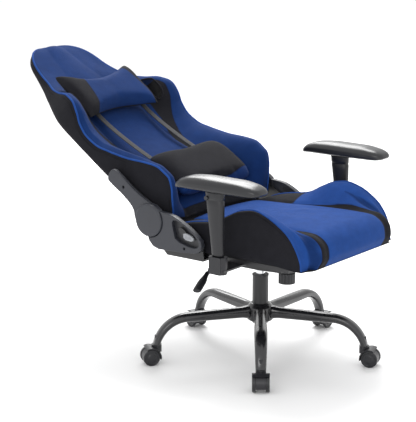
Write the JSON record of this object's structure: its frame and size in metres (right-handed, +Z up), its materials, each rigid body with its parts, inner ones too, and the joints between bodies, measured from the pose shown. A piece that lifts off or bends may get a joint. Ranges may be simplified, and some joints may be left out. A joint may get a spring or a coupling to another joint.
{
  "type": "gaming chair",
  "caption": "Reclining racing-style swivel chair in blue and black cloth, with height-adjustable armrests, head and lumbar pillows and an arched steel star base on casters.",
  "frame": {"origin": "on the floor on the swivel axis, under the gas lift", "axes": "+Z up, -Y is the way the sitter looks, -X is the sitter's right"},
  "size_m": [0.724, 1.2003, 0.864],
  "materials": {
    "gloss_black_steel": "gloss",
    "satin_black_steel": "satin",
    "black_plastic": "satin",
    "pad_plastic": "satin",
    "nylon_wheel": "satin",
    "chrome": "polished",
    "spring_steel": "satin",
    "grey_plastic": "satin",
    "blue_fabric": "matte",
    "black_fabric": "matte",
    "strap_webbing": "matte"
  },
  "bodies": {
    "base": {"base_hub": "gloss_black_steel", "base_leg_1": "gloss_black_steel", "base_leg_2": "gloss_black_steel", "base_leg_3": "gloss_black_steel", "base_leg_4": "gloss_black_steel", "base_leg_5": "gloss_black_steel", "lift_column": "satin_black_steel", "lift_bush": "black_plastic"},
    "caster_1": {"caster_hood_1": "black_plastic"},
    "wheels_1": {"caster_wheels_1": "nylon_wheel"},
    "caster_2": {"caster_hood_2": "black_plastic"},
    "wheels_2": {"caster_wheels_2": "nylon_wheel"},
    "caster_3": {"caster_hood_3": "black_plastic"},
    "wheels_3": {"caster_wheels_3": "nylon_wheel"},
    "caster_4": {"caster_hood_4": "black_plastic"},
    "wheels_4": {"caster_wheels_4": "nylon_wheel"},
    "caster_5": {"caster_hood_5": "black_plastic"},
    "wheels_5": {"caster_wheels_5": "nylon_wheel"},
    "lift": {"lift_rod": "chrome"},
    "mechanism": {"tilt_housing": "satin_black_steel", "tilt_spring": "spring_steel"},
    "knob": {"tension_knob": "black_plastic", "tension_bolt": "spring_steel"},
    "lift_lever": {"lever_pivot": "satin_black_steel"},
    "lift_handle": {"lever_rod": "satin_black_steel", "lever_grip": "black_plastic"},
    "seat": {"swing_plate": "satin_black_steel", "tilt_pin": "chrome", "seat_pan": "satin_black_steel", "seat_bolts": "spring_steel", "seat_cushion": "blue_fabric", "seat_bolster_right": "black_fabric", "seat_bolster_left": "black_fabric", "recliner_plate_right": "satin_black_steel", "recliner_plate_left": "satin_black_steel", "recliner_cover_right": "black_plastic", "recliner_cover_left": "black_plastic", "arm_bracket_right": "satin_black_steel", "arm_bracket_left": "satin_black_steel", "arm_sleeve_right": "black_plastic", "arm_sleeve_left": "black_plastic"},
    "recline_handle": {"recline_lever": "grey_plastic"},
    "arm_right": {"arm_column_right": "black_plastic", "arm_pad_right": "pad_plastic"},
    "arm_left": {"arm_column_left": "black_plastic", "arm_pad_left": "pad_plastic"},
    "button_right": {"arm_button_right": "black_plastic"},
    "button_left": {"arm_button_left": "black_plastic"},
    "back": {"hinge_shaft": "chrome", "back_plate_right": "satin_black_steel", "back_plate_left": "satin_black_steel", "back_arm_cover_right": "black_plastic", "back_arm_cover_left": "black_plastic", "back_frame": "satin_black_steel", "back_cushion": "blue_fabric", "back_wing_right": "black_fabric", "back_wing_left": "black_fabric", "head_pillow": "black_fabric", "lumbar_pillow": "black_fabric", "pillow_straps": "strap_webbing"}
  },
  "joints": [
    {"name": "caster_swivel_1", "type": "hinge", "parent": "base", "child": "caster_1", "pos_m": [0.32, 0, 0.06], "axis": [0, 0, 1], "continuous": true},
    {"name": "wheel_roll_1", "type": "hinge", "parent": "caster_1", "child": "wheels_1", "pos_m": [0.34, 0, 0.025], "axis": [0, 1, 0], "continuous": true},
    {"name": "caster_swivel_2", "type": "hinge", "parent": "base", "child": "caster_2", "pos_m": [0.09889, 0.30434, 0.06], "axis": [0, 0, 1], "continuous": true},
    {"name": "wheel_roll_2", "type": "hinge", "parent": "caster_2", "child": "wheels_2", "pos_m": [0.10507, 0.32336, 0.025], "axis": [-0.9511, 0.309, 0], "continuous": true},
    {"name": "caster_swivel_3", "type": "hinge", "parent": "base", "child": "caster_3", "pos_m": [-0.25888, 0.18809, 0.06], "axis": [0, 0, 1], "continuous": true},
    {"name": "wheel_roll_3", "type": "hinge", "parent": "caster_3", "child": "wheels_3", "pos_m": [-0.27507, 0.19985, 0.025], "axis": [-0.5878, -0.809, 0], "continuous": true},
    {"name": "caster_swivel_4", "type": "hinge", "parent": "base", "child": "caster_4", "pos_m": [-0.25888, -0.18809, 0.06], "axis": [0, 0, 1], "continuous": true},
    {"name": "wheel_roll_4", "type": "hinge", "parent": "caster_4", "child": "wheels_4", "pos_m": [-0.27507, -0.19985, 0.025], "axis": [0.5878, -0.809, 0], "continuous": true},
    {"name": "caster_swivel_5", "type": "hinge", "parent": "base", "child": "caster_5", "pos_m": [0.09889, -0.30434, 0.06], "axis": [0, 0, 1], "continuous": true},
    {"name": "wheel_roll_5", "type": "hinge", "parent": "caster_5", "child": "wheels_5", "pos_m": [0.10507, -0.32336, 0.025], "axis": [0.9511, 0.309, 0], "continuous": true},
    {"name": "lift_slide", "type": "slide", "parent": "base", "child": "lift", "axis": [0, 0, 1], "range_m": [0, 0.08]},
    {"name": "seat_swivel", "type": "hinge", "parent": "lift", "child": "mechanism", "pos_m": [0, 0, 0.29], "axis": [0, 0, 1], "continuous": true},
    {"name": "tension_turn", "type": "hinge", "parent": "mechanism", "child": "knob", "pos_m": [0, -0.095, 0.26], "axis": [0, 0, 1], "range_deg": [-180, 180]},
    {"name": "lift_lever_pull", "type": "hinge", "parent": "mechanism", "child": "lift_lever", "pos_m": [-0.057, 0.06, 0.298], "axis": [0, 1, 0], "range_deg": [0, 7], "stiffness_Nm_per_rad": 3, "springref_deg": -17.19},
    {"name": "tilt_lock_slide", "type": "slide", "parent": "lift_lever", "child": "lift_handle", "axis": [-1, 0, 0], "range_m": [0, 0.01]},
    {"name": "seat_tilt", "type": "hinge", "parent": "mechanism", "child": "seat", "pos_m": [0, -0.07, 0.318], "axis": [-1, 0, 0], "range_deg": [0, 10], "stiffness_Nm_per_rad": 300, "springref_deg": -14.32},
    {"name": "recline", "type": "hinge", "parent": "seat", "child": "back", "pos_m": [0, 0.192, 0.438], "axis": [1, 0, 0], "range_deg": [-12, 48]},
    {"name": "recline_lever_pull", "type": "hinge", "parent": "seat", "child": "recline_handle", "pos_m": [-0.271, 0.08, 0.426], "axis": [-1, 0, 0], "range_deg": [0, 8], "stiffness_Nm_per_rad": 1, "springref_deg": -17.19},
    {"name": "arm_height_right", "type": "slide", "parent": "seat", "child": "arm_right", "axis": [0, 0, 1], "range_m": [0, 0.06]},
    {"name": "button_press_right", "type": "slide", "parent": "arm_right", "child": "button_right", "axis": [1, 0, 0], "range_m": [0, 0.003], "stiffness_N_per_m": 400, "springref_m": -0.003},
    {"name": "arm_height_left", "type": "slide", "parent": "seat", "child": "arm_left", "axis": [0, 0, 1], "range_m": [0, 0.06]},
    {"name": "button_press_left", "type": "slide", "parent": "arm_left", "child": "button_left", "axis": [-1, 0, 0], "range_m": [0, 0.003], "stiffness_N_per_m": 400, "springref_m": -0.003}
  ]
}
